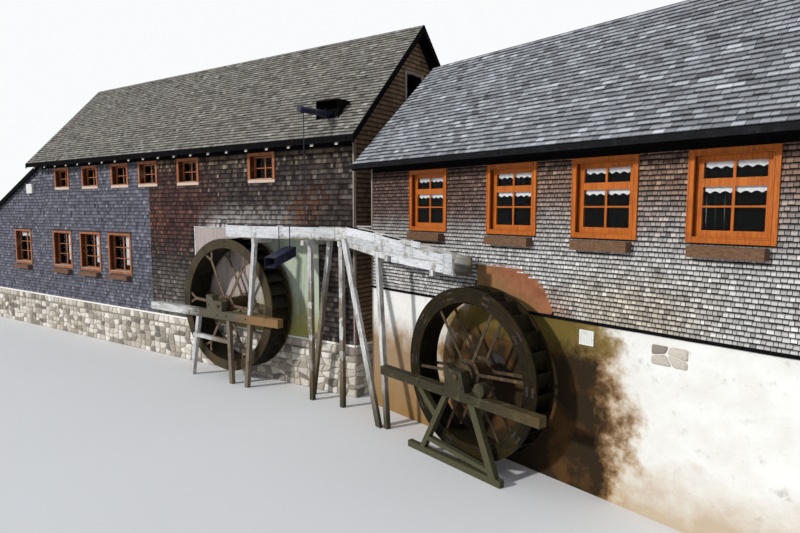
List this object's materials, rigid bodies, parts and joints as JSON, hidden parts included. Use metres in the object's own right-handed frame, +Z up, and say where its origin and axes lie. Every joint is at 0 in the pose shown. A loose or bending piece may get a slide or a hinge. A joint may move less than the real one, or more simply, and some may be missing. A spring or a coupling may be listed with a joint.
{
  "type": "watermill",
  "caption": "Two joined shingled mill houses on stone bases with a raised timber flume that bends between them and feeds overshot water wheels turning on log axles.",
  "frame": {"origin": "on the underside of the long house's stone base, at the foot of the front wall's right corner, level with the stream bed", "axes": "+X along the front of the long house towards the short house, +Y into the houses away from the stream, +Z up"},
  "size_m": [37.1172, 10.3513, 10.5],
  "materials": {
    "rubble": "rough",
    "wall_shingle": "weathered",
    "gable_shingle": "weathered",
    "slate_shingle": "weathered",
    "floor_board": "sawn",
    "roof_shingle": "weathered",
    "silver_shingle": "weathered",
    "rafter_wood": "weathered",
    "tarred_board": "tarred",
    "window_wood": "varnished",
    "window_glass": "clear",
    "lime_plaster": "matt",
    "black_metal": "satin",
    "box_wood": "stained",
    "rust_sheet": "rusted",
    "vent_white": "satin",
    "grey_board": "weathered",
    "wheel_wood": "wet",
    "wheel_iron": "rusted",
    "axle_wood": "wet",
    "beam_wood": "weathered"
  },
  "bodies": {
    "mill": {"bargeboards": "tarred_board", "bearing_beams": "beam_wood", "bearing_blocks": "beam_wood", "bypass_chute": "black_metal", "flower_boxes": "box_wood", "flume_bearers": "grey_board", "flume_inlet": "grey_board", "flume_left": "grey_board", "flume_posts": "grey_board", "flume_right": "grey_board", "hoist_bar": "black_metal", "lean_roof": "roof_shingle", "lean_walls": "slate_shingle", "long_back_wall": "wall_shingle", "long_floors": "floor_board", "long_front_wall": "wall_shingle", "long_gables": "gable_shingle", "long_lower_windows": "window_wood", "long_plinth": "rubble", "long_rafter_tails": "rafter_wood", "long_roof_back": "roof_shingle", "long_roof_front": "roof_shingle", "long_upper_windows": "window_wood", "roof_hatch": "black_metal", "short_back_wall": "wall_shingle", "short_basement": "lime_plaster", "short_floor": "floor_board", "short_front_wall": "wall_shingle", "short_gables": "wall_shingle", "short_gutters": "black_metal", "short_roof_back": "silver_shingle", "short_roof_front": "silver_shingle", "short_windows": "window_wood", "splash_panel": "lime_plaster", "splash_sheet": "rust_sheet", "trestles": "grey_board", "wall_bearings": "wheel_iron", "wall_vents": "vent_white", "window_glass": "window_glass"},
    "left_wheel": {"left_wheel_arms": "wheel_iron", "left_wheel_axle": "axle_wood", "left_wheel_buckets": "wheel_wood", "left_wheel_shrouds": "wheel_wood", "left_wheel_sole": "wheel_wood"},
    "right_wheel": {"right_wheel_arms": "wheel_iron", "right_wheel_axle": "axle_wood", "right_wheel_buckets": "wheel_wood", "right_wheel_shrouds": "wheel_wood", "right_wheel_sole": "wheel_wood"}
  },
  "joints": [
    {"name": "left_wheel_turn", "type": "hinge", "parent": "mill", "child": "left_wheel", "pos_m": [-4.24, -0.916, 2.28], "axis": [0, 1, 0], "continuous": true},
    {"name": "right_wheel_turn", "type": "hinge", "parent": "mill", "child": "right_wheel", "pos_m": [4.6057, -2.208, 1.886], "axis": [0.2743, 0.9616, 0], "continuous": true}
  ]
}
